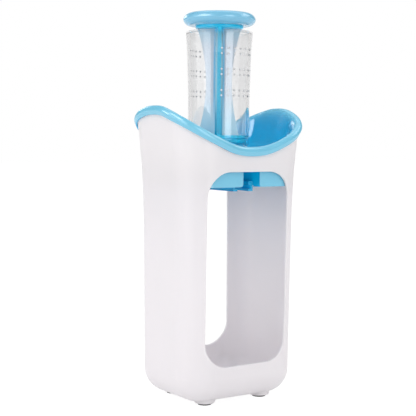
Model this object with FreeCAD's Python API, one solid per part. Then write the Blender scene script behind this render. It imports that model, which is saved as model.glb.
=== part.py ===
"""Food pouch filling station: housing with windows, saddle-rimmed tray, clear tube and plunger.

The origin is on the table under the middle of the object. +Z is up and the front window
faces -Y. All sizes are millimetres.
"""
import FreeCAD, Part
import math
import os

Vec = FreeCAD.Vector
UP = Vec(0, 0, 1)

# Overall
TOTAL_HEIGHT = 314.2

# Housing: a rounded rectangle in plan, with a little draft and a flare towards the rim
BODY_HALF_X = 54.0
BODY_HALF_Y = 43.8
BODY_CORNER = 23.5
BODY_BASE_Z = 3.0
BASE_ROUND = 20.0
WALL = 2.4
DRAFT = 0.009
DRAFT_ZERO_Z = 100.0
FLARE = 4.5
FLARE_START_Z = 130.0
FLARE_FULL_Z = 225.0
FLARE_POWER = 2.5
BASE_TOP_Z = 28.0
FORM_TOP_Z = 244.0
WINDOW_HALF_X = 38.7
WINDOW_BOTTOM_Z = 32.6
WINDOW_TOP_Z = 186.7
WINDOW_CORNER = 20.0
WINDOW_EDGE = 0.8

# Saddle rim: low at the front and back, high at the two sides
RIM_LOW_Z = 199.0
RIM_RISE = 31.7
RIM_POWER = 2.5
RIM_FRONT_WIDTH = 1.4
RIM_BACK_WIDTH = 0.95
LIP_WIDE = 2.6
LIP_HEIGHT = 7.2
LIP_LEDGE = 3.4
SKIN = 2.2
FIT_GAP = 0.4
SEATED_GAP = 0.02

# Tray
FLOOR_Z = 203.0
FLOOR_INSET = 18.0
SKIRT_BOTTOM_Z = 174.7
SKIRT_WALL = 2.0
PAD_RIB_Y = 13.0
PAD_RIB_HALF = 2.5
PAD_RIB_TOP_Z = 190.0
DOORWAY_WIDTH = 16.0
DOORWAY_OFFSET = 3.0
DOORWAY_TOP_Z = 191.0
DOORWAY_CORNER = 2.5
GUIDE_MOUTH = 11.0
GUIDE_NECK = 7.6
GUIDE_NECK_Y = -26.0
GUIDE_END_Y = -10.0
GUIDE_WALL = 1.8
COLLAR_WALL = 2.2
COLLAR_BOTTOM_Z = 188.0
SEAT_Z = 204.6

# Spout holder, fixed under the tray by four screws
HOLDER_PLATE_Z = 175.8
HOLDER_PLATE = 3.2
HOLDER_BOTTOM_Z = 171.1
CHANNEL_HALF = 9.6
CHANNEL_WALL = 2.0
CHANNEL_LEDGE = 1.8
SPOUT_SLOT_HALF = 5.3
HOLDER_FRONT_Y = -35.0
SCREW_X = 16.0
SCREW_YS = (-25.0, 18.0)
BOSS_RADIUS = 3.6
SCREW_SHANK = 1.45
SCREW_HEAD = 2.9

# Tube
TUBE_TOP_Z = 298.0
BORE = 22.6
TUBE_FOOT_RADIUS = 24.6
TUBE_MOUTH_RADIUS = 27.0
TUBE_WALL = 2.1
SPIGOT_RADIUS = 16.0
SPIGOT_BOTTOM_Z = 192.0
RUNNING_GAP = 0.07
SEAL_Z = 197.0
SEAL_SECTION = 1.1
NOZZLE_TIP_RADIUS = 4.1
NOZZLE_BORE = 2.8
NOZZLE_TIP_Z = 177.5
NOZZLE_LEAD = 0.8
NOZZLE_LAND = 6.0

# Plunger
PISTON_BOTTOM_Z = 208.0
PISTON_DISC_RADIUS = 19.6
PISTON_DISC_BOTTOM_Z = 210.0
PISTON_TOP_Z = 214.2
SEAL_LIP_TOP_Z = 215.2
FIN_THICKNESS = 3.0
FIN_WAIST = 10.7
FIN_WAIST_Z = 264.0
FIN_TOP = 18.0
FIN_BOTTOM = 17.5
STEM_TURN = -124.0
CORE_RADIUS = 3.4
STEM_DISC_RADIUS = 19.4
STEM_DISC_BOTTOM_Z = 300.2
STEM_DISC_TOP_Z = 304.8
KNOB_RADIUS = 29.3
KNOB_NOSE_Z = 307.6
KNOB_BOTTOM_Z = 302.4
KNOB_WALL = 2.4
KNOB_CROWN_DROP = 1.9

# Feet
FOOT_X = 27.2
FOOT_Y = 23.5
BOSS_BASE_Z = 1.4
FOOT_BOSS_RADIUS = 8.8
PAD_RADIUS = 6.4
PAD_SEAT_Z = 2.6
PAD_STEM = 2.4
PAD_HEAD = 3.6
PAD_GAP = 0.1

# Upper skin of the tray from the lip's outer lower edge, over the lip and down to the floor:
# distance outside the housing, lift, share of the saddle's height
UPPER_RINGS = (
    (LIP_WIDE - 0.9, 0.0, 1.0),
    (LIP_WIDE, 2.6, 1.0),
    (LIP_WIDE - 0.7, 5.4, 1.0),
    (LIP_WIDE - 3.2, LIP_HEIGHT, 1.0),
    (LIP_WIDE - 6.2, LIP_HEIGHT - 1.1, 1.0),
    (LIP_WIDE - 7.8, LIP_HEIGHT - 4.2, 1.0),
    (-7.0, 0.0, 0.62),
    (-10.3, 0.0, 0.22),
    (-14.3, 0.0, 0.04),
    (-FLOOR_INSET, 0.0, 0.0),
)
# The groove under the lip that drops over the housing's wall: straight strips
GROOVE_RINGS = (
    (FIT_GAP, 0.0, 1.0),
    (FIT_GAP, LIP_LEDGE + SEATED_GAP, 1.0),
    (-WALL - FIT_GAP, LIP_LEDGE + SEATED_GAP, 1.0),
    (-WALL - FIT_GAP, -0.8, 1.0),
)
# Underside of the basin, from the groove down to below the floor
UNDER_RINGS = (
    (-WALL - FIT_GAP, -0.8, 1.0),
    (-4.8, -SKIN, 0.58),
    (-8.4, -SKIN, 0.19),
    (-13.0, -SKIN, 0.03),
    (-FLOOR_INSET, -SKIN, 0.0),
)

# Spans of the rim's curves in each quarter, round the corner and along the side, and the
# degree of the skins through them
ARC_STEPS = 3
SIDE_STEPS = 4
SKIN_DEGREE = 3
QUARTERS = ((1, 1), (-1, 1), (-1, -1), (1, -1))


# ---------------------------------------------------------------- shared outlines

def widening(z):
    """How far the housing stands out beyond its nominal plan at height z."""
    rise = max(0.0, (z - FLARE_START_Z) / (FLARE_FULL_Z - FLARE_START_Z))
    return DRAFT * (z - DRAFT_ZERO_Z) + FLARE * rise ** FLARE_POWER


def corner_centre(half_x, half_y, corner, quarter, z=0.0):
    side_x, side_y = QUARTERS[quarter % 4]
    return Vec(side_x * (half_x - corner), side_y * (half_y - corner), z)


def rounded_rectangle(half_x, half_y, corner, z=0.0):
    """Closed wire of four corner arcs joined by straight sides."""
    arcs = []
    for quarter in range(4):
        circle = Part.Circle(corner_centre(half_x, half_y, corner, quarter, z), UP, corner)
        arcs.append(Part.Arc(circle, math.pi / 2 * quarter, math.pi / 2 * (quarter + 1)))
    edges = []
    for turn, following in zip(arcs, arcs[1:] + arcs[:1]):
        edges.append(turn.toShape())
        edges.append(Part.makeLine(turn.EndPoint, following.StartPoint))
    return Part.Wire(edges)


def plan_stations():
    """Points and outward normals round the nominal plan, for the rings of the rim."""
    stations = []
    for quarter in range(4):
        centre = corner_centre(BODY_HALF_X, BODY_HALF_Y, BODY_CORNER, quarter)
        following = corner_centre(BODY_HALF_X, BODY_HALF_Y, BODY_CORNER, quarter + 1)
        for step in range(ARC_STEPS + 1):
            angle = math.pi / 2 * (quarter + step / ARC_STEPS)
            normal = Vec(math.cos(angle), math.sin(angle), 0)
            stations.append((centre + normal * BODY_CORNER, normal))
        for step in range(1, SIDE_STEPS):
            along = (following - centre) * (step / SIDE_STEPS)
            stations.append((centre + along + normal * BODY_CORNER, normal))
    return stations


def distances_round(stations):
    """Distance round the plan at each station, and the whole way round at the end."""
    points = [point for point, normal in stations]
    distances = [0.0]
    for here, following in zip(points, points[1:] + points[:1]):
        distances.append(distances[-1] + here.distanceToPoint(following))
    return distances


STATIONS = plan_stations()
DISTANCES = distances_round(STATIONS)


def saddle(point):
    """Height of the lip's lower edge at the station's place round the plan.

    The share of the rise is 1 at the two sides and 0 at the middle of the front and back.
    The low stretch is wider in front than behind.
    """
    width = RIM_FRONT_WIDTH if point.y < 0 else RIM_BACK_WIDTH
    towards_side = abs(point.x) ** RIM_POWER
    towards_middle = width * abs(point.y) ** RIM_POWER
    return RIM_LOW_Z + RIM_RISE * towards_side / (towards_side + towards_middle)


def ring(out, lift, share=1.0):
    """Closed smooth wire that follows the rim.

    out is measured from the housing's outer surface. The height is lift above the saddle
    curve where share is 1, lift above the tray's floor where it is 0, and a blend between.
    """
    points = []
    for point, normal in STATIONS:
        z = share * saddle(point) + (1.0 - share) * FLOOR_Z + lift
        points.append(point + normal * (widening(z) + out) + UP * z)
    curve = Part.BSplineCurve()
    curve.interpolate(Points=points, PeriodicFlag=True, Parameters=DISTANCES)
    return Part.Wire([curve.toShape()])


def skin(rings, ruled=False):
    """Faces through the rings: a smooth skin, or straight strips from ring to ring."""
    return Part.makeLoft(rings, False, ruled, False, SKIN_DEGREE).Faces


def closed_solid(faces):
    shell = Part.makeCompound(faces)
    shell.sewShape()
    return Part.makeSolid(shell.Shells[0])


def revolved(profile):
    """Solid of revolution about Z from a closed list of edges in the XZ plane."""
    solid = Part.Face(Part.Wire(profile)).revolve(Vec(0, 0, 0), UP, 360)
    if solid.Volume < 0:
        solid.reverse()
    return solid


def line(a, b):
    return Part.makeLine(Vec(a[0], 0, a[1]), Vec(b[0], 0, b[1]))


def bend(a, middle, b):
    return Part.Arc(Vec(a[0], 0, a[1]), Vec(middle[0], 0, middle[1]), Vec(b[0], 0, b[1])).toShape()


def chain(*steps):
    """Edges through (r, z) points; a step of two points is an arc through the first of them."""
    edges = []
    here = steps[0]
    for step in steps[1:]:
        if isinstance(step[0], tuple):
            edges.append(bend(here, step[0], step[1]))
            here = step[1]
        else:
            edges.append(line(here, step))
            here = step
    if Vec(here[0], 0, here[1]).distanceToPoint(Vec(steps[0][0], 0, steps[0][1])) > 1e-6:
        edges.append(line(here, steps[0]))
    return edges


def crown_drop(radius, rim_radius, rim_drop):
    """How far a ball-shaped crown has dropped at radius, when it drops rim_drop at its rim."""
    ball = (rim_radius ** 2 + rim_drop ** 2) / (2 * rim_drop)
    return ball - math.sqrt(ball ** 2 - radius ** 2)


def cylinder(radius, bottom, top, x=0.0, y=0.0):
    return Part.makeCylinder(radius, top - bottom, Vec(x, y, bottom))


def block(x0, x1, y0, y1, z0, z1):
    return Part.makeBox(x1 - x0, y1 - y0, z1 - z0, Vec(x0, y0, z0))


# ---------------------------------------------------------------- housing

def wall_profile(reach, inset):
    """Half section of the housing's form: flat floor, round base, drafted then flared wall.

    reach is the nominal half width. inset draws the whole form in by a wall's thickness.
    """
    floor_z = BODY_BASE_Z + inset
    base_round = BASE_ROUND - inset
    foot = reach + widening(BASE_TOP_Z) - inset
    bulge = math.sqrt(0.5) * base_round
    heights = [FLARE_START_Z + (FORM_TOP_Z - FLARE_START_Z) * step / 5 for step in range(6)]
    points = [Vec(reach + widening(z) - inset, 0, z) for z in heights]
    top_slope = widening(FORM_TOP_Z) - widening(FORM_TOP_Z - 1.0)
    flare = Part.BSplineCurve()
    flare.interpolate(Points=points, InitialTangent=Vec(DRAFT, 0, 1), FinalTangent=Vec(top_slope, 0, 1))
    return [
        line((0, floor_z), (foot - base_round, floor_z)),
        bend((foot - base_round, floor_z), (foot - base_round + bulge, floor_z + base_round - bulge),
             (foot, floor_z + base_round)),
        line((foot, floor_z + base_round), (foot, BASE_TOP_Z)),
        line((foot, BASE_TOP_Z), (points[0].x, FLARE_START_Z)),
        flare.toShape(),
        line((points[-1].x, FORM_TOP_Z), (0, FORM_TOP_Z)),
        line((0, FORM_TOP_Z), (0, floor_z)),
    ]


def housing_form(inset):
    """Solid of the housing's form, drawn in by inset: sides are extruded, corners revolved."""
    core_x = BODY_HALF_X - BODY_CORNER
    core_y = BODY_HALF_Y - BODY_CORNER
    solids = []
    for quarter in range(4):
        reach, half_run = ((BODY_HALF_X, core_y), (BODY_HALF_Y, core_x))[quarter % 2]
        side = Part.Face(Part.Wire(wall_profile(reach, inset)))
        side.translate(Vec(0, -half_run, 0))
        side = side.extrude(Vec(0, 2 * half_run, 0))
        side.rotate(Vec(0, 0, 0), UP, 90 * quarter)
        corner = Part.Face(Part.Wire(wall_profile(BODY_CORNER, inset)))
        corner = corner.revolve(Vec(0, 0, 0), UP, 90)
        corner.rotate(Vec(0, 0, 0), UP, 90 * quarter)
        corner.translate(corner_centre(BODY_HALF_X, BODY_HALF_Y, BODY_CORNER, quarter))
        solids += [side, corner]
    return solids[0].fuse(solids[1:]).removeSplitter()


def above_saddle(lift):
    """Everything above the saddle curve raised by lift, as three thick rings over the walls."""
    rings = [ring(out, lift) for out in (-20.0, -WALL - FIT_GAP, FIT_GAP, 12.0)]
    return [face.extrude(UP * 80.0) for face in skin(rings, ruled=True)]


def window_cutter():
    half_height = (WINDOW_TOP_Z - WINDOW_BOTTOM_Z) / 2
    face = Part.Face(rounded_rectangle(WINDOW_HALF_X, half_height, WINDOW_CORNER))
    face.rotate(Vec(0, 0, 0), Vec(1, 0, 0), 90)
    face.translate(Vec(0, 80, (WINDOW_TOP_Z + WINDOW_BOTTOM_Z) / 2))
    return face.extrude(Vec(0, -160, 0))


def off_window(point):
    """Distance of a point from the windows' outline, seen from the front."""
    half_height = (WINDOW_TOP_Z - WINDOW_BOTTOM_Z) / 2
    middle = (WINDOW_TOP_Z + WINDOW_BOTTOM_Z) / 2
    beyond_x = abs(point.x) - (WINDOW_HALF_X - WINDOW_CORNER)
    beyond_z = abs(point.z - middle) - (half_height - WINDOW_CORNER)
    outside = math.hypot(max(beyond_x, 0.0), max(beyond_z, 0.0))
    return abs(outside + min(max(beyond_x, beyond_z), 0.0) - WINDOW_CORNER)


def window_edges(shell):
    """The edges that run round the windows on the outer and inner faces."""
    found = []
    for edge in shell.Edges:
        box = edge.BoundBox
        runs_round = box.XLength + box.ZLength > 0.01
        if runs_round and max(off_window(point) for point in edge.discretize(5)) < 0.02:
            found.append(edge)
    return found


def foot_places():
    return [(side_x * FOOT_X, side_y * FOOT_Y) for side_y in (-1, 1) for side_x in (-1, 1)]


def foot_boss(x, y):
    """Round boss under the floor that carries a rubber pad."""
    rim = FOOT_BOSS_RADIUS
    top = BODY_BASE_Z + WALL - 0.1
    boss = revolved(chain((0, BOSS_BASE_Z), (rim - 1.2, BOSS_BASE_Z), (rim - 0.4, BOSS_BASE_Z + 0.7),
                          (rim, top), (0, top)))
    boss.translate(Vec(x, y, 0))
    return boss


def make_housing():
    shell = housing_form(0.0).cut(housing_form(WALL))
    shell = shell.cut(window_cutter())
    shell = shell.makeFillet(WINDOW_EDGE, window_edges(shell))
    shell = shell.cut(above_saddle(LIP_LEDGE))
    for x, y in foot_places():
        shell = shell.fuse(foot_boss(x, y))
    for x, y in foot_places():
        shell = shell.cut(cylinder(PAD_RADIUS, 0, PAD_SEAT_Z, x, y))
        shell = shell.cut(cylinder(PAD_STEM, 0, BASE_ROUND, x, y))
        spot_face_z = BODY_BASE_Z + WALL
        shell = shell.cut(cylinder(PAD_HEAD + FIT_GAP, spot_face_z, BASE_ROUND, x, y))
    return shell


# ---------------------------------------------------------------- tray

def dish():
    """Rolled lip and basin as one skin of even thickness, with a flat floor."""
    upper = [ring(*values) for values in UPPER_RINGS]
    groove = [ring(*values) for values in GROOVE_RINGS]
    under = [ring(*values) for values in UNDER_RINGS]
    faces = skin(upper) + skin(groove, ruled=True) + skin(under)
    faces += skin([upper[0], groove[0]], ruled=True)
    faces.append(Part.Face(upper[-1]))
    faces.append(Part.Face(under[-1]))
    return closed_solid(faces)


def basin_space():
    """The air inside the basin, taken down to the middle of its skin's thickness."""
    middles = []
    for above, below in zip(UPPER_RINGS[5:], UNDER_RINGS):
        middles.append([(a + b) / 2 for a, b in zip(above, below)])
    rings = [ring(*values) for values in middles]
    top = ring(middles[0][0], 50.0, 0.0)
    faces = skin(rings)
    faces += skin([rings[0], top], ruled=True)
    faces.append(Part.Face(top))
    faces.append(Part.Face(rings[-1]))
    return closed_solid(faces)


def skirt():
    """Wall that hangs from the tray inside the housing, with a doorway in its front."""
    out = widening(SKIRT_BOTTOM_Z) - WALL - FIT_GAP
    height = RIM_LOW_Z + RIM_RISE - SKIRT_BOTTOM_Z
    walls = []
    for inset in (0.0, SKIRT_WALL):
        outline = rounded_rectangle(BODY_HALF_X + out - inset, BODY_HALF_Y + out - inset,
                                    BODY_CORNER + out - inset, SKIRT_BOTTOM_Z)
        walls.append(Part.Face(outline).extrude(UP * height))
    return walls[0].cut(walls[1]).cut(basin_space()).cut(doorway_cutter())


def doorway_cutter():
    """Opening through the skirt's front wall whose jambs run out in round corners below."""
    left = DOORWAY_OFFSET - DOORWAY_WIDTH / 2
    right = DOORWAY_OFFSET + DOORWAY_WIDTH / 2
    low = SKIRT_BOTTOM_Z
    turn = DOORWAY_CORNER
    half_turn = turn * (1 - math.sqrt(0.5))
    face = Part.Face(Part.Wire(chain(
        (left - turn, low - 1.0),
        (left - turn, low),
        ((left - half_turn, low + half_turn), (left, low + turn)),
        (left, DOORWAY_TOP_Z),
        (right, DOORWAY_TOP_Z),
        (right, low + turn),
        ((right + half_turn, low + half_turn), (right + turn, low)),
        (right + turn, low - 1.0),
    )))
    face.translate(Vec(0, -80, 0))
    return face.extrude(Vec(0, 60, 0))


def guide_wall(side):
    """Upright wall that starts at the doorway, closes in and runs on beside the spout's neck."""
    skirt_face = BODY_HALF_Y + widening(SKIRT_BOTTOM_Z) - WALL - FIT_GAP - SKIRT_WALL
    near = [(GUIDE_MOUTH, -skirt_face - 0.5), (GUIDE_NECK, GUIDE_NECK_Y), (GUIDE_NECK, GUIDE_END_Y)]
    far = [(x + GUIDE_WALL, y) for x, y in reversed(near)]
    corners = [Vec(side * x, y, SKIRT_BOTTOM_Z) for x, y in near + far]
    plan = Part.Face(Part.makePolygon(corners + corners[:1]))
    return plan.extrude(UP * (FLOOR_Z - SKIN / 2 - SKIRT_BOTTOM_Z))


def spout_guides():
    """Two walls that lead a pouch's spout from the doorway to the nozzle, over the holder."""
    holder_top = HOLDER_PLATE_Z + HOLDER_PLATE
    holder_room = block(-BODY_HALF_X, BODY_HALF_X, HOLDER_FRONT_Y - FIT_GAP, BODY_HALF_Y,
                        HOLDER_BOTTOM_Z, holder_top)
    kept_clear = [holder_room, basin_space()]
    return [guide_wall(side).cut(kept_clear) for side in (-1, 1)]


def locating_ribs():
    """Upright ribs on the skirt's two sides that bear on the inside of the housing's walls."""
    skirt_face = BODY_HALF_X + widening(SKIRT_BOTTOM_Z) - WALL - FIT_GAP
    ribs = []
    for side in (-1, 1):
        near, far = sorted((side * (skirt_face - 1.0), side * (skirt_face + 10.0)))
        for y in (-PAD_RIB_Y, PAD_RIB_Y):
            ribs.append(block(near, far, y - PAD_RIB_HALF, y + PAD_RIB_HALF,
                              SKIRT_BOTTOM_Z + 2, PAD_RIB_TOP_Z))
    return Part.makeCompound(ribs).common(housing_form(WALL)).Solids


def screw_places():
    return [(side * SCREW_X, y) for y in SCREW_YS for side in (-1, 1)]


def holder_bosses():
    """Round bosses under the floor that the spout holder's plate is drawn up against."""
    bottom = HOLDER_PLATE_Z + HOLDER_PLATE
    return [cylinder(BOSS_RADIUS, bottom, FLOOR_Z - SKIN / 2, x, y) for x, y in screw_places()]


def make_tray():
    collar_bore = SPIGOT_RADIUS + RUNNING_GAP
    inside_floor_z = FLOOR_Z - SKIN / 2
    tray = dish().fuse([skirt()] + locating_ribs() + holder_bosses() + spout_guides())
    tray = tray.fuse(cylinder(collar_bore + COLLAR_WALL, COLLAR_BOTTOM_Z, inside_floor_z))
    tray = tray.fuse(cylinder(TUBE_FOOT_RADIUS - 1.0, inside_floor_z, SEAT_Z))
    tray = tray.cut(cylinder(collar_bore, COLLAR_BOTTOM_Z - 1, SEAT_Z + 1))
    for x, y in screw_places():
        tray = tray.cut(cylinder(SCREW_SHANK, HOLDER_PLATE_Z, HOLDER_PLATE_Z + 14, x, y))
    return tray


# ---------------------------------------------------------------- spout holder

def fork_slot(half, z0, z1):
    """Slot open to the front that ends in a half circle round the nozzle's axis."""
    straight = block(-half, half, -60, 0, z0, z1)
    return straight.fuse(cylinder(half, z0, z1))


def make_spout_holder():
    plate_top = HOLDER_PLATE_Z + HOLDER_PLATE
    back = SCREW_YS[1] + 6.0
    half_plate = SCREW_X + 5.5
    plate = block(-half_plate, half_plate, HOLDER_FRONT_Y, back, HOLDER_PLATE_Z, plate_top)
    uprights = [e for e in plate.Edges if e.BoundBox.ZLength > HOLDER_PLATE - 0.1]
    plate = plate.makeFillet(4.0, uprights)
    channel_end = CHANNEL_HALF + 4.0
    channel = block(-CHANNEL_HALF, CHANNEL_HALF, HOLDER_FRONT_Y, channel_end,
                    HOLDER_BOTTOM_Z, HOLDER_PLATE_Z)
    back_uprights = [e for e in channel.Edges
                     if e.BoundBox.ZLength > 1 and e.BoundBox.YMin > 0]
    channel = channel.makeFillet(CHANNEL_HALF - 0.5, back_uprights)
    holder = plate.fuse(channel)
    inside = CHANNEL_HALF - CHANNEL_WALL
    holder = holder.cut(fork_slot(inside, HOLDER_BOTTOM_Z + CHANNEL_LEDGE, HOLDER_PLATE_Z))
    holder = holder.cut(fork_slot(SPOUT_SLOT_HALF, HOLDER_BOTTOM_Z - 1, plate_top + 1))
    for x, y in screw_places():
        holder = holder.cut(cylinder(SCREW_SHANK + 0.2, HOLDER_PLATE_Z - 1, plate_top + 1, x, y))
    return holder


def make_holder_screws():
    """Four pan-head screws, each a separate solid."""
    screws = []
    head = SCREW_HEAD
    shank = SCREW_SHANK - SEATED_GAP
    z = HOLDER_PLATE_Z
    for x, y in screw_places():
        screw = revolved(chain((0, z - 2.0), (head - 0.9, z - 2.0), (head, z - 1.1), (head, z),
                               (shank, z), (shank, z + 11.0), (0, z + 12.2)))
        screw.translate(Vec(x, y, 0))
        screws.append(screw)
    return Part.makeCompound(screws)


# ---------------------------------------------------------------- tube

def tube_profile():
    """Half section: wall with a flared mouth, floor, nozzle through the middle, spigot ring."""
    bottom = SEAT_Z
    foot = TUBE_FOOT_RADIUS
    mouth = TUBE_MOUTH_RADIUS
    spigot = SPIGOT_RADIUS
    tip = NOZZLE_TIP_RADIUS
    outside = [
        (spigot, bottom),
        (foot - 3.6, bottom),
        ((foot - 1.0, bottom + 1.3), (foot, bottom + 4.6)),
        (foot + 0.6, 254.0),
        (foot + 1.3, 280.0),
        (mouth, TUBE_TOP_Z - 0.9),
        ((mouth - 0.6, TUBE_TOP_Z), (mouth - 1.5, TUBE_TOP_Z - 0.5)),
    ]
    inside = [
        (mouth - TUBE_WALL, TUBE_TOP_Z - 2.0),
        (foot + 1.3 - TUBE_WALL, 280.0),
        (foot + 0.6 - TUBE_WALL, 254.0),
        (BORE, 224.0),
        (BORE, bottom + 4.4),
        ((BORE - 0.7, bottom + 3.0), (BORE - 2.4, bottom + 2.5)),
        (NOZZLE_BORE + 2.2, bottom + 1.9),
        (NOZZLE_BORE, bottom - 0.6),
    ]
    nozzle = [
        (NOZZLE_BORE, NOZZLE_TIP_Z),
        (tip - 0.6, NOZZLE_TIP_Z),
        (tip, NOZZLE_TIP_Z + NOZZLE_LEAD),
        (tip, NOZZLE_TIP_Z + NOZZLE_LEAD + NOZZLE_LAND),
        (tip + 0.8, bottom - 4.0),
        (tip + 3.0, bottom - 1.6),
    ]
    spigot_ring = [
        (spigot - 3.6, bottom - 1.6),
        (spigot - 2.2, bottom - 3.0),
        (spigot - 2.2, SPIGOT_BOTTOM_Z),
        (spigot - 0.6, SPIGOT_BOTTOM_Z),
        (spigot, SPIGOT_BOTTOM_Z + 0.8),
    ]
    return chain(*outside, *inside, *nozzle, *spigot_ring)


def spigot_groove():
    ring_outer = cylinder(SPIGOT_RADIUS + 1, SEAL_Z - SEAL_SECTION, SEAL_Z + SEAL_SECTION)
    return ring_outer.cut(cylinder(SPIGOT_RADIUS - SEAL_SECTION, SEAL_Z - 3, SEAL_Z + 3))


def make_tube():
    return revolved(tube_profile()).cut(spigot_groove())


def make_tube_seal():
    """Ring in the spigot's groove, with a blunt wiping edge against the tray's collar."""
    inner = SPIGOT_RADIUS - SEAL_SECTION
    outer = SPIGOT_RADIUS + RUNNING_GAP - SEATED_GAP
    low = SEAL_Z - SEAL_SECTION + SEATED_GAP
    high = SEAL_Z + SEAL_SECTION - SEATED_GAP
    return revolved(chain((inner, low), (outer - 0.5, low), (outer, SEAL_Z - 0.3),
                          (outer, SEAL_Z + 0.3), (outer - 0.5, high), (inner, high)))


# ---------------------------------------------------------------- plunger

def fin_outline():
    """One fin: straight at the axis, hourglass outside, spread where it meets the piston."""
    bottom = PISTON_TOP_Z - 1.0
    top = STEM_DISC_BOTTOM_Z + 1.0
    root = FIN_BOTTOM - 2.0
    return chain((0, bottom), (FIN_BOTTOM + 1.6, bottom),
                 ((FIN_BOTTOM - 0.9, bottom + 2.6), (root, bottom + 7.0)),
                 ((FIN_WAIST, FIN_WAIST_Z), (FIN_TOP, top)),
                 (0, top))


def fin(turn):
    """One flat fin, as thick as a moulded rib, turned to its place round the core."""
    face = Part.Face(Part.Wire(fin_outline()))
    face.translate(Vec(0, -FIN_THICKNESS / 2, 0))
    solid = face.extrude(Vec(0, FIN_THICKNESS, 0))
    solid.rotate(Vec(0, 0, 0), UP, turn)
    return solid


def make_plunger_stem():
    core = cylinder(CORE_RADIUS, PISTON_TOP_Z - 1, STEM_DISC_BOTTOM_Z + 1)
    top_disc = cylinder(STEM_DISC_RADIUS, STEM_DISC_BOTTOM_Z, STEM_DISC_TOP_Z)
    lower_edge = [e for e in top_disc.Edges if e.BoundBox.ZMax < STEM_DISC_BOTTOM_Z + 0.1]
    top_disc = top_disc.makeFillet(1.0, lower_edge)
    piston = cylinder(PISTON_DISC_RADIUS, PISTON_DISC_BOTTOM_Z, PISTON_TOP_Z)
    stem = core.fuse([fin(STEM_TURN + 90 * quarter) for quarter in range(4)])
    return stem.fuse([top_disc, piston]).removeSplitter()


def make_piston_seal():
    """Soft cup that grips the piston disc, with two wiping ribs against the bore."""
    wipe = BORE - RUNNING_GAP
    body = BORE - 0.7
    disc = PISTON_DISC_RADIUS
    low = PISTON_BOTTOM_Z
    ribs = []
    for middle in (low + 2.3, low + 5.2):
        ribs += [(body, middle - 0.8), (wipe, middle - 0.2), (wipe, middle + 0.2), (body, middle + 0.8)]
    return revolved(chain(
        (0, low),
        (body - 1.2, low),
        (body, low + 1.2),
        *ribs,
        (body, SEAL_LIP_TOP_Z - 0.5),
        (body - 0.5, SEAL_LIP_TOP_Z),
        (disc - 0.9, SEAL_LIP_TOP_Z),
        (disc - 0.9, PISTON_TOP_Z),
        (disc, PISTON_TOP_Z),
        (disc, PISTON_DISC_BOTTOM_Z),
        (0, PISTON_DISC_BOTTOM_Z),
    ))


def make_knob():
    """Domed press knob: a hollow cap with a round nose, pushed over the stem's top disc."""
    low = KNOB_BOTTOM_Z
    top = TOTAL_HEIGHT
    edge = KNOB_RADIUS
    crown = edge - 8.0
    drop = KNOB_CROWN_DROP
    ceiling = top - KNOB_WALL
    return revolved(chain(
        (0, top),
        ((crown / 2, top - crown_drop(crown / 2, crown, drop)), (crown, top - drop)),
        ((edge - 1.6, KNOB_NOSE_Z + 2.9), (edge, KNOB_NOSE_Z)),
        ((edge - 1.5, KNOB_NOSE_Z - 3.3), (edge - 5.2, low)),
        (STEM_DISC_RADIUS, low),
        (STEM_DISC_RADIUS, STEM_DISC_TOP_Z),
        (STEM_DISC_RADIUS - 1.4, STEM_DISC_TOP_Z),
        (crown - 0.6, ceiling - drop),
        ((crown / 2, ceiling - crown_drop(crown / 2, crown - 0.6, drop)), (0, ceiling)),
    ))


# ---------------------------------------------------------------- feet

def make_foot(x, y):
    """Rubber pad seated in its boss, with a plug stem through the floor and a holding head."""
    floor_top = BODY_BASE_Z + WALL
    pad = PAD_RADIUS - PAD_GAP
    stem = PAD_STEM - PAD_GAP
    head = PAD_HEAD
    foot = revolved(chain(
        (0, 0),
        (pad - 0.9, 0),
        (pad, 1.1),
        (pad, PAD_SEAT_Z),
        (stem, PAD_SEAT_Z),
        (stem, floor_top),
        (head, floor_top),
        (head - 0.4, floor_top + 1.0),
        ((head / 2, floor_top + 1.9 - crown_drop(head / 2, head - 0.4, 0.9)), (0, floor_top + 1.9)),
    ))
    foot.translate(Vec(x, y, 0))
    return foot


# ---------------------------------------------------------------- all pieces

def main():
    names = ("foot_front_left", "foot_front_right", "foot_back_left", "foot_back_right")
    pieces = {
        "housing": make_housing(),
        "tray": make_tray(),
        "spout_holder": make_spout_holder(),
        "holder_screws": make_holder_screws(),
        "tube": make_tube(),
        "tube_seal": make_tube_seal(),
        "plunger_stem": make_plunger_stem(),
        "piston_seal": make_piston_seal(),
        "knob": make_knob(),
    }
    for name, (x, y) in zip(names, foot_places()):
        pieces[name] = make_foot(x, y)
    os.makedirs("parts", exist_ok=True)
    for name, shape in pieces.items():
        shape.exportStep(f"parts/{name}.step")
        box = shape.BoundBox
        print(f"{name:18s} valid={shape.isValid()} solids={len(shape.Solids)} "
              f"faces={len(shape.Faces)} volume={shape.Volume / 1000:.2f} cm3 "
              f"z {box.ZMin:.1f}..{box.ZMax:.1f} x {box.XMin:.1f}..{box.XMax:.1f} "
              f"y {box.YMin:.1f}..{box.YMax:.1f}")


main()
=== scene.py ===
# %% [markdown]
# # A food pouch filling station, dressed for its portrait
#
# The real object is four mouldings and a few small parts: a white housing with two windows,
# a blue tray with a rolled rim, a clear tube and a blue plunger. A CAD program holds their
# shapes, and this lesson gives them their finish, their small raised marks, a camera and a
# studio. We start by loading the CAD model as a frame that nothing here may move.

# %% Load the frame
import math

import bmesh
import bpy
from mathutils import Matrix, Vector


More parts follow.
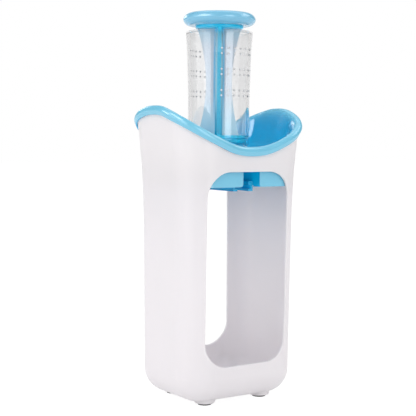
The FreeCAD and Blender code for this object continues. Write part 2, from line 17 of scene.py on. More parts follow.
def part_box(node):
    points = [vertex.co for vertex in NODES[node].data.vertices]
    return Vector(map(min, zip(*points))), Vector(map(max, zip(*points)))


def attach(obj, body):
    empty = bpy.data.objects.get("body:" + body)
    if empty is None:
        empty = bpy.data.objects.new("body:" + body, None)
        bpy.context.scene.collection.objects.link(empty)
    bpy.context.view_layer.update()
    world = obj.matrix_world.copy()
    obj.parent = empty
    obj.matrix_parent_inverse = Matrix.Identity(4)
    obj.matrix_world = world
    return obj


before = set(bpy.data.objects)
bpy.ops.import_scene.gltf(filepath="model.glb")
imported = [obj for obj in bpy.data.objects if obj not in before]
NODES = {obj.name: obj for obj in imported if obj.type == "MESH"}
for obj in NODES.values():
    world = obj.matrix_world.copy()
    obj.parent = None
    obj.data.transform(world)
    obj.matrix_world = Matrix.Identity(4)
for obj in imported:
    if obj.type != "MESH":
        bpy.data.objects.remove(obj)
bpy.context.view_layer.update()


# %% [markdown]
# ## The camera
#
# A portrait lens stands about nine tenths of a metre from the object, a little to the left of
# the front window and a little above the middle. A long lens keeps the housing's upright edges
# almost parallel. The lens is shifted, as on an architect's camera: the view point can stay low
# while the frame moves up to hold the knob. We could aim the camera with a Track To constraint,
# but building its matrix from three plain vectors shows what a camera matrix is.

# %% Camera
FRAME_PIXELS = 416
FOCAL_PIXELS = 1072.0
SENSOR = 36.0
AZIMUTH = math.radians(-34.12)
PITCH = math.radians(6.31)
ROLL = math.radians(0.51)
STAND_OFF = 0.879
EYE_HEIGHT = 0.2168
SIDE_STEP = 0.0076
RISE_PIXELS = 43.5
NEAREST = 0.01
FARTHEST = 20.0


def make_camera():
    right = Vector((math.cos(AZIMUTH), math.sin(AZIMUTH), 0))
    level = Vector((-math.sin(AZIMUTH), math.cos(AZIMUTH), 0))
    up = Vector((0, 0, 1))
    look = level * math.cos(PITCH) - up * math.sin(PITCH)
    head = level * math.sin(PITCH) + up * math.cos(PITCH)
    across = right * math.cos(ROLL) + head * math.sin(ROLL)
    crown = head * math.cos(ROLL) - right * math.sin(ROLL)
    place = up * EYE_HEIGHT - level * STAND_OFF - right * SIDE_STEP
    data = bpy.data.cameras.new("camera")
    data.sensor_width = SENSOR
    data.lens = FOCAL_PIXELS / FRAME_PIXELS * SENSOR
    data.shift_y = RISE_PIXELS / FRAME_PIXELS
    data.clip_start = NEAREST
    data.clip_end = FARTHEST
    camera = bpy.data.objects.new("camera", data)
    bpy.context.scene.collection.objects.link(camera)
    camera.matrix_world = Matrix((
        (across.x, crown.x, -look.x, place.x),
        (across.y, crown.y, -look.y, place.y),
        (across.z, crown.z, -look.z, place.z),
        (0, 0, 0, 1),
    ))
    bpy.context.scene.camera = camera
    return camera, right, -level


CAMERA, SCREEN_RIGHT, TO_CAMERA = make_camera()
print("lens", round(CAMERA.data.lens, 1), "mm, shift", round(CAMERA.data.shift_y, 4))

# %% [markdown]
# ## Shader sums written as Python
#
# A material in Blender is a graph of nodes. Long lists of nodes and links are slow to read in
# code, so a small class wraps one output socket and turns +, - and * into Math nodes. Both
# orders work, so 1 - mask is as good as mask + 1. A group of nodes could hold such sums as well,
# but then the formula can't be read in one line.

# %% Wires
class Wire:
    """One value in a material's graph."""

    def __init__(self, finish, socket):
        self.finish = finish
        self.socket = socket

    def sum_node(self, operation, *values):
        """A Math node on one or two values."""
        return self.finish.node("ShaderNodeMath", {"operation": operation}, dict(enumerate(values)))

    def __add__(self, other):
        return self.sum_node("ADD", self, other)

    def __radd__(self, other):
        return self.sum_node("ADD", other, self)

    def __sub__(self, other):
        return self.sum_node("SUBTRACT", self, other)

    def __rsub__(self, other):
        return self.sum_node("SUBTRACT", other, self)

    def __mul__(self, other):
        return self.sum_node("MULTIPLY", self, other)

    def __rmul__(self, other):
        return self.sum_node("MULTIPLY", other, self)

    def __abs__(self):
        return self.sum_node("ABSOLUTE", self)


print("wires can be added, subtracted, multiplied and made positive")

# %% [markdown]
# A second class owns the tree of a material and makes every other node through one method: its
# type, its settings, then its inputs. Colours and directions have their own nodes, because a
# Math node would turn them into one grey number. What the finishes share has a short name: a
# noise, a ramp, a bump, a skin, a blend of two surfaces.

# %% Finishes
UPWARDS = (0, 0, 1)


class Finish:
    """One material, or the world, and its graph."""

    def __init__(self, name, owner=None):
        self.owner = owner or bpy.data.materials.new(name)
        self.owner.use_nodes = True
        self.tree = self.owner.node_tree
        self.tree.nodes.clear()

    def node(self, kind, settings=None, inputs=None, output=0):
        """One node of any type, with its settings and its inputs; gives the output asked for."""
        made = self.tree.nodes.new(kind)
        for key, value in (settings or {}).items():
            setattr(made, key, value)
        for key, value in (inputs or {}).items():
            if isinstance(value, Wire):
                self.tree.links.new(value.socket, made.inputs[key])
            else:
                made.inputs[key].default_value = value
        return Wire(self, made.outputs[output]) if len(made.outputs) else made

    def place(self):
        """Where a point of the surface is, in metres, the same at every pose."""
        return self.node("ShaderNodeTexCoord", output="Object")

    def height(self):
        """How high a point of the surface is, in metres."""
        return self.node("ShaderNodeSeparateXYZ", None, {0: self.place()}, output="Z")

    def facing(self):
        """Which way the surface faces."""
        return self.node("ShaderNodeTexCoord", output="Normal")

    def noise(self, scale, detail=2.0, roughness=0.5, distortion=0.0):
        """A soft random value between 0 and 1; scale is in lumps per metre."""
        return self.node("ShaderNodeTexNoise", {"noise_dimensions": "3D"},
                         {"Vector": self.place(), "Scale": scale, "Detail": detail,
                          "Roughness": roughness, "Distortion": distortion})

    def ramp(self, value, low, high):
        """Stretches the stretch of value from low to high over 0 to 1, with soft ends."""
        return self.node("ShaderNodeMapRange", {"interpolation_type": "SMOOTHSTEP"},
                         {"Value": value, "From Min": low, "From Max": high})

    def tint(self, first, second, share):
        """A colour between two colours."""
        first, second = (c if isinstance(c, Wire) else (*c, 1.0) for c in (first, second))
        return self.node("ShaderNodeMix", {"data_type": "RGBA"},
                         {"Factor": share, 6: first, 7: second}, output=2)

    def openness(self, reach):
        """1 on open faces, less in hollows; reach is how far away a neighbour still counts."""
        return self.node("ShaderNodeAmbientOcclusion", {"samples": 12, "only_local": True},
                         {"Distance": reach}, output="AO")

    def vector(self, operation, first, second=(0, 0, 0), output="Vector"):
        """Vector Math on one or two directions."""
        return self.node("ShaderNodeVectorMath", {"operation": operation},
                         {0: first, 1: second}, output=output)

    def off_axis(self):
        """From the upright axis of the object to a point of the surface, held level."""
        return self.vector("MULTIPLY", self.place(), (1, 1, 0))

    def dot(self, direction, axis):
        """How far a direction points along an axis."""
        return self.vector("DOT_PRODUCT", direction, axis, output="Value")

    def bump(self, height, depth, strength):
        """Relief: height from 0 to 1 is depth metres."""
        return self.node("ShaderNodeBump", None,
                         {"Strength": strength, "Distance": depth, "Height": height})

    def skin(self, **inputs):
        """A Principled surface; names are the shader's own, with _ for a space."""
        named = {key.replace("_", " "): value for key, value in inputs.items()}
        return self.node("ShaderNodeBsdfPrincipled", None, named)

    def light_through(self, colour):
        """A surface that is lit by what falls on its far side."""
        return self.node("ShaderNodeBsdfTranslucent", None, {"Color": (*colour, 1.0)})

    def blend(self, share, first, second):
        """Two surfaces in one: first where share is 0, second where it is 1."""
        return self.node("ShaderNodeMixShader", None, {0: share, 1: first, 2: second})

    def ray(self, kind):
        """1 where the light ray is of this kind, else 0."""
        return self.node("ShaderNodeLightPath", output=f"Is {kind} Ray")

    def straight_ray(self):
        """1 where the camera looks at this, straight or through clear plastic, else 0."""
        return self.ray("Camera") + self.ray("Transmission")

    def finish_with(self, surface):
        self.node("ShaderNodeOutputMaterial", None, {"Surface": surface})
        return self.owner


def dress(material, *names):
    """Puts a material on CAD nodes, by their names."""
    for name in names:
        mesh = NODES[name].data
        mesh.materials.clear()
        mesh.materials.append(material)


print(len(NODES), "pieces wait for a finish")

# %% [markdown]
# ## White housing
#
# The housing is injection-moulded in a glossy white plastic. A polished mould leaves a surface
# that is smooth to the hand, yet its reflections swim a little, because plastic shrinks
# unevenly as it cools. One broad noise gives that swim as a very shallow relief, and a finer one
# gives the faint grain that keeps big white faces from looking painted on. Handling dulls the
# gloss in patches, so the roughness varies too.
#
# The wall is only 2.4 mm thick, and light leaks through it: the inside of a white plastic box is
# never dark. A real volume scatter would show that slowly and with noise. A share of translucent
# shader gives the same glow at once. Behind the top band stands the tray, which stops some of the
# light, so the share is smaller there.

# %% White plastic
WHITE = (0.925, 0.898, 0.918)
WHITE_WORN = (0.915, 0.889, 0.906)
WHITE_THROUGH = 0.28
BACKED_BY_TRAY = (0.165, 0.215)
TRAY_SHADE = 0.35
WHITE_SWIM_SCALE = 30.0
WHITE_GRAIN_SCALE = 900.0
GRAIN_SHARE = 0.15
HANDLING_SCALE = 11.0
HANDLED = (0.3, 0.8)
WHITE_ROUGH = 0.3
HANDLED_ROUGH = 0.03
WHITE_IOR = 1.49
WHITE_RELIEF = 0.00006


def white_plastic():
    finish = Finish("white_plastic")
    swim = finish.noise(WHITE_SWIM_SCALE, detail=1.0)
    grain = finish.noise(WHITE_GRAIN_SCALE, detail=3.0, roughness=0.6)
    handling = finish.ramp(finish.noise(HANDLING_SCALE, roughness=0.45), *HANDLED)
    relief = swim * (1 - GRAIN_SHARE) + grain * GRAIN_SHARE
    face = finish.skin(
        Base_Color=finish.tint(WHITE, WHITE_WORN, handling),
        Roughness=WHITE_ROUGH + handling * HANDLED_ROUGH,
        IOR=WHITE_IOR,
        Normal=finish.bump(relief, WHITE_RELIEF, strength=0.6),
    )
    behind_tray = finish.ramp(finish.height(), *BACKED_BY_TRAY)
    glow_share = (1 - behind_tray * TRAY_SHADE) * WHITE_THROUGH
    return finish.finish_with(finish.blend(glow_share, face, finish.light_through(WHITE)))


dress(white_plastic(), "housing")
print("housing dressed")

# %% [markdown]
# ## Blue tray, holder, plunger and knob
#
# The blue parts are one coloured plastic, but the light and shade on them are partly painted
# into their colour. We measure how open each place is, with the ambient occlusion node, and go
# through three blues: cave, hollow and open. On an open rim the blue is painted pale, as painted
# light. In a basin or under a skirt it is painted deep, with hardly any red, as painted shade. In
# the deepest hollows, such as the doorway under the tray, it is painted brighter again, as painted
# light. The knob and the spout holder have an open blue of their own.
#
# The faces that look straight up, such as the knob's top and the basin's floor, are finely
# etched in the mould, so that a wet palm doesn't slip on them. They are rougher than the rest.
# Slow changes of tone, where the melt flowed, and a shallow swim in the gloss finish the skin.

# %% Blue plastic
# Painted light and shade: pale on open faces, deep in hollows, brighter again in the deepest
# hollows.
OPEN_BLUE_PAINTED_LIGHT = (0.19, 0.55, 0.74)
HOLLOW_BLUE_PAINTED_SHADE = (0.003, 0.37, 0.7)
CAVE_BLUE_PAINTED_LIGHT = (0.001, 0.58, 0.95)
HOLLOW_REACH = 0.07
LEVEL_FACE = (0.9, 0.99)
ETCH_ROUGH = 0.3
HOLDER_BLUE = (0.008, 0.38, 0.66)
KNOB_BLUE = (0.2, 0.51, 0.71)
CAVE_TO_HOLLOW = (0.55, 0.76)
HOLLOW_TO_OPEN = (0.79, 0.97)
FLOW_SCALE = 22.0
FLOW_EDGE = (0.35, 0.7)
FLOW_TINT = 0.06
FLOW_ROUGH = 0.05
SWIM_SCALE = 45.0
GLOSS_RELIEF = 0.0001
BLUE_GRAIN_SCALE = 1100.0
BLUE_GRAIN_SHARE = 0.06
BLUE_IOR = 1.62


def melt_flow(finish):
    """Broad streaks where the melt flowed into the mould, from 0 to 1."""
    streaks = finish.noise(FLOW_SCALE, detail=3.0, distortion=0.8)
    return finish.ramp(streaks, *FLOW_EDGE)


def blue_plastic(name, open_blue, base_rough):
    finish = Finish(name)
    flow = melt_flow(finish)
    swim = finish.noise(SWIM_SCALE, detail=1.0)
    grain = finish.noise(BLUE_GRAIN_SCALE, roughness=0.6)
    relief = swim * (1 - BLUE_GRAIN_SHARE) + grain * BLUE_GRAIN_SHARE
    # How open a place is picks the painted shade in hollows and the painted light on open faces.
    openness = finish.openness(HOLLOW_REACH)
    hollow = finish.tint(CAVE_BLUE_PAINTED_LIGHT, HOLLOW_BLUE_PAINTED_SHADE, finish.ramp(openness, *CAVE_TO_HOLLOW))
    open_share = finish.ramp(openness, *HOLLOW_TO_OPEN)
    level_face = finish.ramp(finish.dot(finish.facing(), UPWARDS), *LEVEL_FACE)
    return finish.finish_with(finish.skin(
        Base_Color=finish.tint(hollow, open_blue, open_share - flow * FLOW_TINT),
        Roughness=base_rough + flow * FLOW_ROUGH + level_face * ETCH_ROUGH,
        IOR=BLUE_IOR,
        Normal=finish.bump(relief, GLOSS_RELIEF, strength=0.5),
    ))


dress(blue_plastic("blue_plastic", OPEN_BLUE_PAINTED_LIGHT, base_rough=0.13), "tray")
dress(blue_plastic("holder_plastic", HOLDER_BLUE, base_rough=0.2), "spout_holder")
dress(blue_plastic("knob_plastic", KNOB_BLUE, base_rough=0.17), "knob")
print("blue parts dressed")

# %% [markdown]
# ## Plunger stem
#
# The stem is a thin cross: a round core with four fins, and the light and shade on it are
# painted into its colour. The fins' flat sides are painted pale, as painted light, and bluer at
# their roots. The round core is painted paler too, as a painted highlight, while the fins' narrow
# edges keep the full blue. A translucent shader behind the tube's clear wall would be noisy, so
# we ask the geometry: a face is a fin's side where its normal points round the stem's axis, and
# not away from it or along it. Towards both ends the pale sides are painted bluer, as a painted
# reflection of the blue parts around them. Low down, in the tray, the core and the edges are
# painted a deeper blue, as painted shade, and the disc under the knob is painted the brightest
# blue, as painted light.

# %% Stem plastic
# Painted light, highlight, reflection and shade on the stem; STEM_BLUE is its own blue.
STEM_BLUE = (0.05, 0.47, 0.69)
CORE_PAINTED_HIGHLIGHT = (0.25, 0.5, 0.62)
CORE_EDGE = (0.0034, 0.0038)
FIN_ROOT_BLUE = (0.14, 0.5, 0.76)
FIN_SIDE_PAINTED_LIGHT = (0.57, 0.63, 0.7)
FIN_ROOT = (0.0038, 0.0054)
LOW_BLUE_PAINTED_SHADE = (0.004, 0.38, 0.6)
FIN_END_PAINTED_REFLECTION = (0.5, 0.74, 0.84)
LOW_END = (0.218, 0.252)
TOP_END = (0.284, 0.298)
DISC_BLUE_PAINTED_LIGHT = (0.02, 0.65, 0.98)
DISC_START = (0.296, 0.299)
SIDE_FACE = (0.6, 0.95)
FIN_FLOW_TINT = 0.05
TOP_END_SHARE = 0.6
STEM_ROUGH = 0.17
STEM_IOR = 1.46


def stem_plastic():
    finish = Finish("stem_plastic")
    flow = melt_flow(finish)
    around = finish.vector("NORMALIZE", finish.vector("CROSS_PRODUCT", finish.place(), UPWARDS))
    fin_side = finish.ramp(abs(finish.dot(finish.facing(), around)), *SIDE_FACE)
    reach = finish.vector("LENGTH", finish.off_axis(), output="Value")
    fin_share = finish.ramp(reach, *FIN_ROOT) - flow * FIN_FLOW_TINT
    # Painted light: the fin sides pale away from the core, bluer at the roots.
    side_colour = finish.tint(FIN_ROOT_BLUE, FIN_SIDE_PAINTED_LIGHT, fin_share)
    # Painted highlight: the core paler than the fins' narrow edges.
    edge_colour = finish.tint(CORE_PAINTED_HIGHLIGHT, STEM_BLUE, finish.ramp(reach, *CORE_EDGE))
    height = finish.height()
    clear_of_tray = finish.ramp(height, *LOW_END)
    mid_fin = clear_of_tray * (1 - finish.ramp(height, *TOP_END) * TOP_END_SHARE)
    # Painted reflection: the fin sides bluer towards both ends.
    side_colour = finish.tint(FIN_END_PAINTED_REFLECTION, side_colour, mid_fin)
    # Painted shade: the core and the edges a deeper blue low in the tray.
    edge_colour = finish.tint(LOW_BLUE_PAINTED_SHADE, edge_colour, clear_of_tray)
    # Painted light: the disc under the knob is the brightest blue.
    edge_colour = finish.tint(edge_colour, DISC_BLUE_PAINTED_LIGHT, finish.ramp(height, *DISC_START))
    return finish.finish_with(finish.skin(
        Base_Color=finish.tint(edge_colour, side_colour, fin_side),
        Roughness=STEM_ROUGH + flow * FLOW_ROUGH,
        IOR=STEM_IOR,
        Normal=finish.bump(finish.noise(SWIM_SCALE, detail=1.0), GLOSS_RELIEF, strength=0.5),
    ))


dress(stem_plastic(), "plunger_stem")
print("stem dressed")

# %% [markdown]
# ## Soft seals and feet
#
# The piston wears a soft cup that wipes the tube, a silicone ring seals the spigot, and four
# rubber pads keep the station from sliding. Soft mouldings are duller than hard ones and pick
# up dust, which shows as pale specks in the dark rubber.

# %% Rubber finishes
FOOT_BLACK = (0.006, 0.007, 0.009)
FOOT_DUST = (0.1, 0.1, 0.1)
CUP_BLUE = (0.001, 0.5, 0.72)
CUP_DUST = (0.1, 0.55, 0.75)
SILICONE_WHITE = (0.78, 0.8, 0.8)
SILICONE_DUST = (0.9, 0.9, 0.9)
DUST_SCALE = 700.0
DUST_EDGE = (0.62, 0.78)
DUST_ROUGH = 0.2
RUBBER_GRAIN_SCALE = 2600.0
RUBBER_RELIEF = 0.00004


def soft_rubber(name, colour, dust_colour, rough, dust_share, shine=0.5):
    finish = Finish(name)
    specks = finish.noise(DUST_SCALE, detail=5.0, roughness=0.7)
    dust = finish.ramp(specks, *DUST_EDGE) * dust_share
    return finish.finish_with(finish.skin(
        Base_Color=finish.tint(colour, dust_colour, dust),
        Roughness=rough + dust * DUST_ROUGH,
        Specular_IOR_Level=shine,
        Normal=finish.bump(finish.noise(RUBBER_GRAIN_SCALE), RUBBER_RELIEF, strength=0.5),
    ))


FEET = [name for name in NODES if name.startswith("foot_")]
PADS = soft_rubber("foot_rubber", FOOT_BLACK, FOOT_DUST, rough=0.6, dust_share=0.3, shine=0.0)
CUP = soft_rubber("piston_rubber", CUP_BLUE, CUP_DUST, rough=0.42, dust_share=0.4)
RING = soft_rubber("seal_silicone", SILICONE_WHITE, SILICONE_DUST, rough=0.4, dust_share=0.5)
dress(PADS, *FEET)
dress(CUP, "piston_seal")
dress(RING, "tube_seal")
print(len(FEET), "feet and two seals dressed")

# %% [markdown]
# ## Steel screws
#
# Four small screws hold the spout holder. Screws are cleaned in a tumbling drum, which leaves
# very fine bumps, and here and there a stain that is darker and duller. Nobody sees them from
# the front, but a reader who turns the object over does.

# %% Screw steel
STEEL = (0.66, 0.66, 0.67)
STEEL_STAIN = (0.5, 0.49, 0.47)
STAIN_SCALE = 300.0
STAIN_EDGE = (0.5, 0.75)
STEEL_ROUGH = 0.28
STAIN_ROUGH = 0.15
TUMBLE_SCALE = 1500.0
TUMBLE_RELIEF = 0.00003


def screw_steel():
    finish = Finish("screw_steel")
    tumble = finish.noise(TUMBLE_SCALE, detail=4.0, roughness=0.65)
    stain = finish.ramp(finish.noise(STAIN_SCALE, detail=3.0), *STAIN_EDGE)
    return finish.finish_with(finish.skin(
        Base_Color=finish.tint(STEEL, STEEL_STAIN, stain),
        Metallic=1.0,
        Roughness=STEEL_ROUGH + stain * STAIN_ROUGH,
        Normal=finish.bump(tumble, TUMBLE_RELIEF, strength=0.6),
    ))


dress(screw_steel(), "holder_screws")
print("screws dressed")

# %% [markdown]
# ## Clear tube
#
# The tube is a clear, faintly grey plastic. A true refracting shader gives the darker bands near
# its two edges by itself, because there the view runs along the wall. Three things are added.
# Shadow rays pass, as light does through a thin clear wall, so that the plunger inside isn't
# left in the dark. A faint haze of handling varies the tint and the roughness. And at the rim
# and at the foot, where light would be caught in the thick edge for more bounces than we can
# follow, most of the view goes straight through.

# %% Clear plastic
CLEAR = (0.875, 0.876, 0.88)
CLEAR_HAZY = (0.862, 0.863, 0.867)
CLEAR_OPEN = (0.965, 0.965, 0.97, 1.0)
CLEAR_IOR = 1.49
CLEAR_ROUGH = 0.012
HAZE_ROUGH = 0.02
HAZE_SCALE = 60.0
HAZE_EDGE = (0.45, 0.8)
CLEAR_SWIM_SCALE = 50.0
CLEAR_RELIEF = 0.00004
TUBE_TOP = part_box("tube")[1][2]
RIM_FADE = (0.0026, 0.0012)
FOOT_FADE = (0.2125, 0.216)
END_OPEN = 0.75


def clear_plastic():
    finish = Finish("clear_plastic")
    haze = finish.ramp(finish.noise(HAZE_SCALE, detail=4.0, roughness=0.6), *HAZE_EDGE)
    wall = finish.skin(
        Base_Color=finish.tint(CLEAR, CLEAR_HAZY, haze),
        Roughness=CLEAR_ROUGH + haze * HAZE_ROUGH,
        IOR=CLEAR_IOR,
        Transmission_Weight=1.0,
        Normal=finish.bump(finish.noise(CLEAR_SWIM_SCALE, detail=1.0), CLEAR_RELIEF, strength=0.5),
    )
    open_wall = finish.node("ShaderNodeBsdfTransparent", None, {"Color": CLEAR_OPEN})
    shadow = finish.ray("Shadow")
    height = finish.height()
    rim = finish.ramp(height, TUBE_TOP - RIM_FADE[0], TUBE_TOP - RIM_FADE[1]) * END_OPEN
    foot = (1 - finish.ramp(height, *FOOT_FADE)) * END_OPEN
    through = shadow + (rim + foot) * (1 - shadow)
    return finish.finish_with(finish.blend(through, wall, open_wall))


dress(clear_plastic(), "tube")
print("tube dressed")

# %% [markdown]
# ## Raised fill marks
#
# The tube has no printed scale. Three pairs of rows of small round bumps stand on its outside,
# on two opposite sides, and a user reads them as fill levels. Their places come from the tube
# itself: a ray is shot at its wall for each bump, so they sit on it whatever its taper. We could
# write its radius down instead, and would have to measure it again after each change.

# %% Places on the wall
RAY_START = 0.06
LEVELS = (0.2812, 0.265, 0.2485)
FAN_STARTS = (math.radians(-120.0), math.radians(60.0))


def wall_point(angle, z):
    """The tube's outer surface and its normal, seen from the given direction."""
    away = Vector((math.cos(angle), math.sin(angle), 0))
    start = away * RAY_START + Vector((0, 0, z))
    hit, place, normal, _ = NODES["tube"].ray_cast(start, -away)
    if not hit:
        raise RuntimeError("the ray missed the tube")
    return place, normal


FIRST_PLACE = wall_point(FAN_STARTS[0], LEVELS[0])[0]
print("the wall is", round(FIRST_PLACE.xy.length * 1000, 1), "mm from the axis at the top level")

# %% [markdown]
# A bump map could fake the marks, but real domes catch light at their edges and stay there in
# every export. Each one is a stack of shrinking rings of points, joined by four-sided faces and
# closed by a fan of triangles at the top and at the bottom. The rim is sunk a little into the
# wall, so that no gap can show.

# %% One dome
DOT_RADIUS = 0.00085
DOT_HEIGHT = 0.0003
DOT_SUNK = 0.0001
DOME_SIDES = 16
DOME_RINGS = 4


def add_dome(vertices, faces, place, normal):
    """Adds a low round bump on the point place to the lists of points and faces."""
    across = normal.cross(Vector((0, 0, 1))).normalized()
    along = normal.cross(across).normalized()
    base = len(vertices)
    for ring in range(DOME_RINGS):
        lean = math.pi / 2 * ring / DOME_RINGS
        reach = DOT_RADIUS * math.cos(lean)
        lift = DOT_HEIGHT * math.sin(lean) - DOT_SUNK
        for side in range(DOME_SIDES):
            turn = 2 * math.pi * side / DOME_SIDES
            vertices.append(place + across * (reach * math.cos(turn))
                            + along * (reach * math.sin(turn)) + normal * lift)
    top = len(vertices)
    vertices.append(place + normal * (DOT_HEIGHT - DOT_SUNK))
    bottom = len(vertices)
    vertices.append(place - normal * DOT_SUNK)
    for ring in range(DOME_RINGS - 1):
        for side in range(DOME_SIDES):
            following = (side + 1) % DOME_SIDES
            low = base + ring * DOME_SIDES
            high = low + DOME_SIDES
            faces.append((low + side, low + following, high + following, high + side))
    last = base + (DOME_RINGS - 1) * DOME_SIDES
    for side in range(DOME_SIDES):
        following = (side + 1) % DOME_SIDES
        faces.append((last + side, last + following, top))
        faces.append((base + following, base + side, bottom))


print("a dome has", DOME_SIDES * DOME_RINGS + 2, "points")

# %% [markdown]
# All domes go into one mesh, because one piece is lighter to handle than 84. A short helper
# turns lists of points and faces into an object, and bmesh turns the faces' normals outwards.
# The piece rides on the tube, so that it moves wherever the tube goes.

# %% All fill marks
PAIR_HALF_GAP = 0.00205
DOTS_IN_ROW = 7
DOT_STEP = math.radians(12.0)


def piece_from(name, vertices, faces, smooth=True):
    """A new object from points and faces, with its normals turned outwards."""
    mesh = bpy.data.meshes.new(name)
    mesh.from_pydata([tuple(v) for v in vertices], [], faces)
    work = bmesh.new()
    work.from_mesh(mesh)
    bmesh.ops.recalc_face_normals(work, faces=work.faces)
    work.to_mesh(mesh)
    work.free()
    for polygon in mesh.polygons:
        polygon.use_smooth = smooth
    piece = bpy.data.objects.new(name, mesh)
    bpy.context.scene.collection.objects.link(piece)
    return piece


def make_fill_marks():
    vertices = []
    faces = []
    rows = [level + side * PAIR_HALF_GAP for level in LEVELS for side in (-1, 1)]
    for row in rows:
        for start in FAN_STARTS:
            for index in range(DOTS_IN_ROW):
                place, normal = wall_point(start + index * DOT_STEP, row)
                add_dome(vertices, faces, place, normal)
    return piece_from("fill_marks", vertices, faces)


MARKS = make_fill_marks()
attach(MARKS, "tube")
print(len(MARKS.data.polygons), "faces in the fill marks")

# %% [markdown]
# The marks are frosted, with a white crown and a grey foot, as a clear bump bends the light away
# at its steep edge. Real refraction in so small a dome would only be noise, so the two tones
# are painted by geometry: a face belongs to the crown where its normal points away from the
# tube's axis. A part of the crown's white is light that comes through from inside the tube.

# %% Frosted marks
MARK_TOP = (0.95, 0.95, 0.96)
MARK_EDGE = (0.24, 0.26, 0.29)
MARK_THROUGH = 0.35
CROWN = (0.75, 0.97)
ETCH_SCALE = 4000.0
ETCH_TINT = 0.06
MARK_ROUGH = 0.3
ETCHED_ROUGH = 0.2
MARK_IOR = 1.49
ETCH_RELIEF = 0.00003


def frosted_plastic():
    """The marks' clear plastic, etched in the mould, with painted light on the crown and shade at
    the foot.
    """
    finish = Finish("frosted_plastic")
    etch = finish.noise(ETCH_SCALE, detail=3.0)
    outward = finish.vector("NORMALIZE", finish.off_axis())
    # Painted light on the crown, painted shade at the foot.
    crown = finish.ramp(abs(finish.dot(finish.facing(), outward)), *CROWN)
    face = finish.skin(
        Base_Color=finish.tint(MARK_EDGE, MARK_TOP, crown - etch * ETCH_TINT),
        Roughness=MARK_ROUGH + etch * ETCHED_ROUGH,
        IOR=MARK_IOR,
        Normal=finish.bump(etch, ETCH_RELIEF, strength=0.7),
    )
    lit = finish.light_through(MARK_TOP)
    return finish.finish_with(finish.blend(crown * MARK_THROUGH, face, lit))


MARKS.data.materials.append(frosted_plastic())
print("marks frosted")

# %% [markdown]
# ## Studio
#
# The object stands on a pale floor that runs to white. The floor looks white to the camera,
# through clear plastic and in glosses, but it lights the object no more than pale paint does.
# A share of the real paint stays in the mix, and it carries the object's soft shadow.

# %% Floor
FLOOR_REACH = 6.0
FLOOR_CORNERS = ((-1, -1), (1, -1), (1, 1), (-1, 1))
FLOOR_PAINT = (0.9, 0.9, 0.9)
FLOOR_WORN = (0.88, 0.88, 0.88)
WORN_SCALE = 9.0
FLOOR_ROUGH = 0.8
PLAIN_WHITE = (1, 1, 1, 1)
FLOOR_GLOW_SHARE = 0.86
FLOOR_GLOW = 1.1


def floor_paint():
    finish = Finish("floor_paint")
    colour = finish.tint(FLOOR_PAINT, FLOOR_WORN, finish.noise(WORN_SCALE))
    paint = finish.skin(Base_Color=colour, Roughness=FLOOR_ROUGH)
    glow = {"Color": PLAIN_WHITE, "Strength": FLOOR_GLOW}
    white = finish.node("ShaderNodeEmission", None, glow)
    seen = finish.straight_ray() + finish.ray("Glossy")
    return finish.finish_with(finish.blend(seen * FLOOR_GLOW_SHARE, paint, white))


def make_floor():
    corners = [(x * FLOOR_REACH, y * FLOOR_REACH, 0) for x, y in FLOOR_CORNERS]
    floor = piece_from("floor", corners, [(0, 1, 2, 3)], smooth=False)
    floor.data.materials.append(floor_paint())


make_floor()
print("floor laid,", 2 * FLOOR_REACH, "m wide")

# %% [markdown]
# The room gives the broad soft light: a little more from the left and from the front than from
# behind on the right, so that neighbouring walls of the white box differ. In glosses the room is
# nearly dark, apart from the white sweep straight behind the object. A real studio is like that:
# black cloth outside the lamps keeps the blue from looking milky. We could hang the cloth as
# real planes, but one world shader that asks which kind of ray has come does it in a few nodes.

# %% World
ROOM = 1.03
ROOM_TO_FRONT = 0.2
ROOM_TO_LEFT = 0.11
GLOSS_ROOM = 0.05
BACKDROP = 1.0
SWEEP_EDGE = (0.75, 0.97)


def make_world():
    world = bpy.data.worlds.new("studio")
    bpy.context.scene.world = world
    finish = Finish("studio", owner=world)
    towards = finish.node("ShaderNodeTexCoord", output="Generated")
    slope = tuple(TO_CAMERA * ROOM_TO_FRONT - SCREEN_RIGHT * ROOM_TO_LEFT)
    room = ROOM + finish.dot(towards, slope)
    sweep = finish.ramp(finish.dot(towards, tuple(-TO_CAMERA)), *SWEEP_EDGE)
    mirrored = GLOSS_ROOM + sweep * (BACKDROP - GLOSS_ROOM)
    glossy = finish.ray("Glossy")
    straight = finish.straight_ray()
    around = glossy * mirrored + (1 - glossy) * room
    level = straight * BACKDROP + (1 - straight) * around
    sky = {"Color": PLAIN_WHITE, "Strength": level}
    background = finish.node("ShaderNodeBackground", None, sky)
    finish.node("ShaderNodeOutputWorld", None, {"Surface": background})


make_world()
print("room level", ROOM, "and", GLOSS_ROOM, "in glosses")

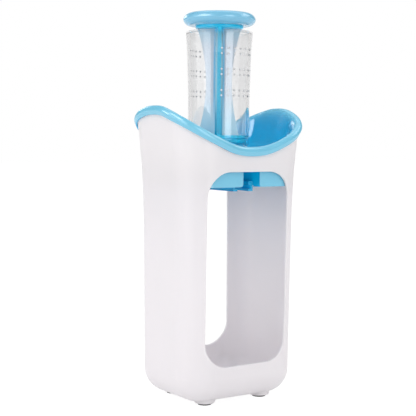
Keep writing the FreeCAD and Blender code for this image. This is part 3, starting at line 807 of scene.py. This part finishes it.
# %% [markdown]
# Each lamp is a rectangle that faces the object. Its level is the brightness of its own surface,
# with 1 as plain white. Glossy plastic mirrors only about one part in twenty, so a strip has to
# be several times brighter than white to show as a pale band. At that level it would also wash
# out the white housing. So the strips are hidden from diffuse rays: they give the upright bands
# on the tube, the sheen on the rim and the glow at the basin's ends, and nothing else. Two mild
# lamps without that rule lift the top edges.

# %% Lamps
# Each row: name, side and rise in degrees, distance, width and height in metres, level.
LAMP_AIM = Vector((0, 0, 0.24))
STRIPS = (
    ("strip_left", -44, 22, 1.3, 0.6, 1.4, 1.6),
    ("strip_left_wide", -60, 22, 1.32, 1.7, 1.4, 1.3),
    ("strip_right", 36.5, 22, 1.3, 0.63, 1.4, 3.8),
    ("strip_far_left", -94, 21, 1.3, 0.44, 0.34, 5.6),
    ("strip_lip", -62, 46, 1.34, 0.7, 0.7, 3.4),
    ("strip_back_left", -146, 20, 1.3, 0.46, 0.3, 2.6),
    ("strip_right_high", 108, 42, 1.3, 0.8, 0.4, 3.0),
)
LAMPS = (
    ("lamp_left_high", -58, 48, 1.3, 0.8, 0.4, 0.9),
    ("lamp_top_back", 165, 62, 1.22, 1.2, 0.8, 1.0),
)


def add_lamp(name, side_degrees, rise_degrees, distance, width, height, level):
    """The side is measured from the camera's direction, with right positive."""
    side = math.radians(side_degrees)
    rise = math.radians(rise_degrees)
    flat = TO_CAMERA * math.cos(side) + SCREEN_RIGHT * math.sin(side)
    away = flat * math.cos(rise) + Vector((0, 0, math.sin(rise)))
    data = bpy.data.lights.new(name, "AREA")
    data.shape = "RECTANGLE"
    data.size = width
    data.size_y = height
    data.energy = level * width * height * math.pi
    lamp = bpy.data.objects.new(name, data)
    bpy.context.scene.collection.objects.link(lamp)
    lamp.location = LAMP_AIM + away * distance
    lamp.rotation_mode = "QUATERNION"
    lamp.rotation_quaternion = (-away).to_track_quat("-Z", "Y")
    return lamp


for settings in LAMPS:
    add_lamp(*settings)
for settings in STRIPS:
    add_lamp(*settings).visible_diffuse = False
print(len(LAMPS), "lamps and", len(STRIPS), "strips")

# %% [markdown]
# ## View transform
#
# The view transform stays at Standard, so a colour renders as it is written.

# %% Finish
bpy.context.scene.view_settings.view_transform = "Standard"
